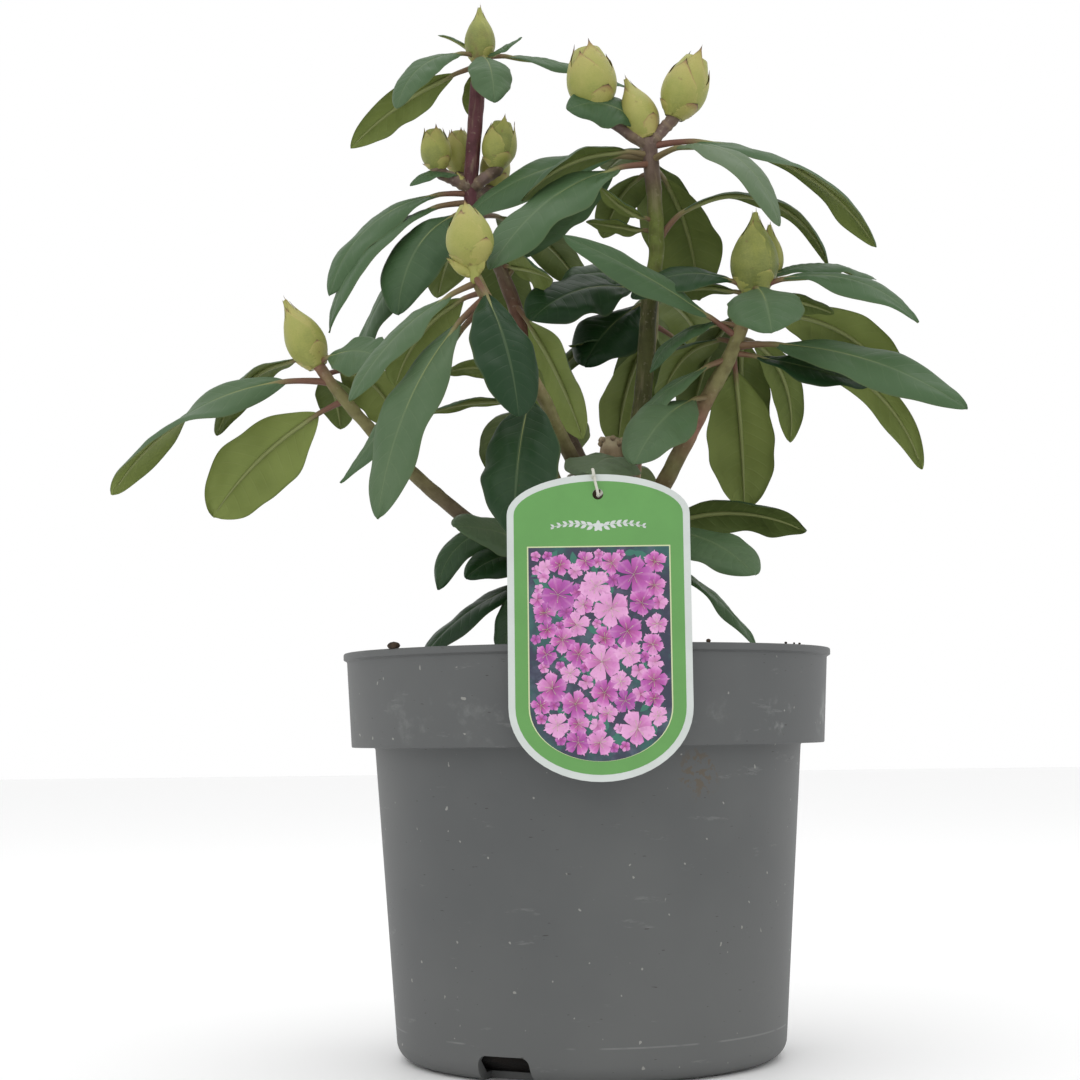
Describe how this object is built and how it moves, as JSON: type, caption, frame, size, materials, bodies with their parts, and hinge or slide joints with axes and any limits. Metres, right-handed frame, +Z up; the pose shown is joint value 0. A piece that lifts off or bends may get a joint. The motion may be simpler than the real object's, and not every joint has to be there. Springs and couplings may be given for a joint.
{
  "type": "potted rhododendron",
  "caption": "Young broad-leaved evergreen rhododendron with plump flower buds, in a round grey nursery pot with a hanging plant tag.",
  "frame": {"origin": "centre of the pot's flat underside, on the surface it stands on", "axes": "+Z up, -Y towards the tag and the viewer, +X to the viewer's right"},
  "size_m": [0.3911, 0.2559, 0.5045],
  "materials": {
    "pot_grey": "matte, lightly scuffed",
    "soil_brown": "rough, crumbly",
    "tag_green": "satin printed card",
    "strap_white": "satin",
    "bark_brown": "matte young bark",
    "leaf_green": "leathery, slight sheen"
  },
  "bodies": {
    "root": {"pot": "pot_grey", "soil": "soil_brown", "tag": "tag_green", "tag_loop": "strap_white", "main_stem": "bark_brown", "bough_left": "bark_brown", "bough_front_left": "bark_brown", "bough_upper_left": "bark_brown", "bough_centre": "bark_brown", "bough_right": "bark_brown", "bough_back": "bark_brown", "foliage_left": "leaf_green", "foliage_front_left": "leaf_green", "foliage_upper_left": "leaf_green", "foliage_centre": "leaf_green", "foliage_right": "leaf_green", "foliage_back": "leaf_green", "foliage_back_left": "leaf_green", "foliage_back_low": "leaf_green", "foliage_top_of_stem": "leaf_green", "foliage_low_left": "leaf_green", "foliage_low_right": "leaf_green"}
  },
  "joints": []
}
